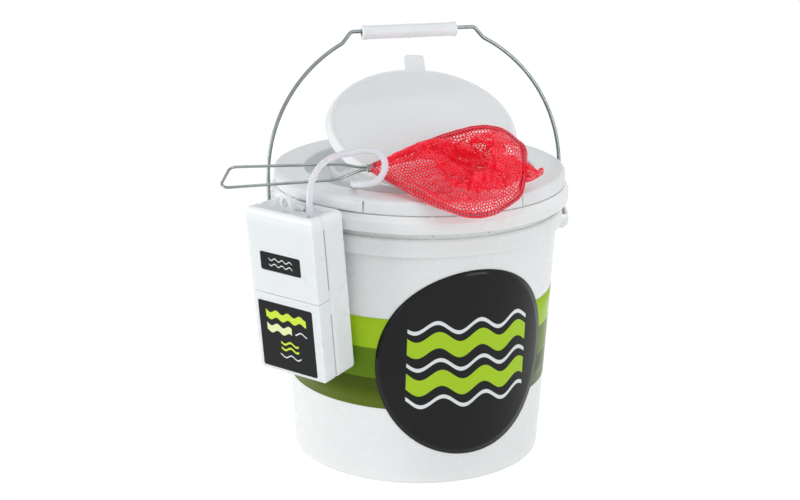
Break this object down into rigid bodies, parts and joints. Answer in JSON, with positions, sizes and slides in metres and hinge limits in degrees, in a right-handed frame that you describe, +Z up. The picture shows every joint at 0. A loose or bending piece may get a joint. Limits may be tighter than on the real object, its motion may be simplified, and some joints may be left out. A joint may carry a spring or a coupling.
{
  "type": "aerated bait bucket",
  "caption": "Round insulated pail with a swinging bail, press-fit lid, open hinged hatch, battery air pump hung on its rim, air tube and wire dip net.",
  "frame": {"origin": "centre of the pail's foot ring, on the floor", "axes": "+Z up along the pail's axis; -Y is the side with the label, and the pump hangs at the front left (-X, -Y)"},
  "size_m": [0.3475, 0.3363, 0.4372],
  "materials": {
    "pail_plastic": "smooth white polyethylene",
    "lid_plastic": "satin white polyethylene",
    "foam": "expanded polystyrene",
    "gasket": "soft foam seal",
    "steel_wire": "galvanised wire",
    "spring_steel": "plain strip",
    "grip_plastic": "white",
    "pump_plastic": "white ABS",
    "cell_case": "plain dark sleeve",
    "screw_steel": "plated",
    "motor_can": "plated can",
    "mechanism_plastic": "natural nylon",
    "rubber_black": "moulded",
    "tube_vinyl": "clear vinyl",
    "stone": "bonded grit",
    "net_mesh": "red knotless mesh"
  },
  "bodies": {
    "pail": {"bucket_shell": "pail_plastic", "foam_liner": "foam", "lid": "lid_plastic", "lid_foam": "foam", "tube_grommet": "rubber_black", "hinge_pin": "steel_wire", "pump_back_case": "pump_plastic", "pump_front_case": "pump_plastic", "contact_bridge": "spring_steel", "contact_leaves": "spring_steel", "battery_left": "cell_case", "battery_right": "cell_case", "case_screws": "screw_steel", "hook_screws": "screw_steel", "motor": "motor_can", "motor_cradle": "mechanism_plastic", "yoke": "mechanism_plastic", "diaphragm": "rubber_black", "pump_head": "mechanism_plastic", "nipple": "pump_plastic", "pump_hook": "spring_steel", "air_tube": "tube_vinyl", "air_stone": "stone"},
    "hatch": {"hatch_cover": "lid_plastic", "hatch_foam": "foam", "hatch_gasket": "gasket"},
    "net": {"net_frame": "steel_wire", "net_wrap": "steel_wire", "net_bag": "net_mesh"},
    "bail": {"bail_wire": "steel_wire"},
    "grip": {"bail_grip": "grip_plastic"},
    "battery_cover": {"battery_cover": "pump_plastic"},
    "switch": {"switch_knob": "pump_plastic"},
    "crank": {"crank": "steel_wire"}
  },
  "joints": [
    {"name": "hatch_hinge", "type": "hinge", "parent": "pail", "child": "hatch", "pos_m": [0.01898, -0.09767, 0.2952], "axis": [0.9816, 0.1908, 0], "range_deg": [-25, 0]},
    {"name": "net_lift", "type": "slide", "parent": "pail", "child": "net", "axis": [0, 0, 1], "range_m": [0, 0.08]},
    {"name": "bail_swing", "type": "hinge", "parent": "pail", "child": "bail", "pos_m": [0, 0, 0.231], "axis": [-0.9563, -0.2924, 0], "range_deg": [0, 125]},
    {"name": "grip_spin", "type": "hinge", "parent": "bail", "child": "grip", "pos_m": [-0.01195, 0.0237, 0.4297], "axis": [0.9563, 0.2924, 0], "continuous": true},
    {"name": "battery_cover_slide", "type": "slide", "parent": "pail", "child": "battery_cover", "axis": [0.0725, 0.098, -0.9925], "range_m": [0, 0.08]},
    {"name": "switch_slide", "type": "slide", "parent": "pail", "child": "switch", "axis": [0.8039, -0.5948, 0], "range_m": [0, 0.005]},
    {"name": "crank_spin", "type": "hinge", "parent": "pail", "child": "crank", "pos_m": [-0.11257, -0.12994, 0.22924], "axis": [0.8039, -0.5948, 0], "continuous": true}
  ]
}
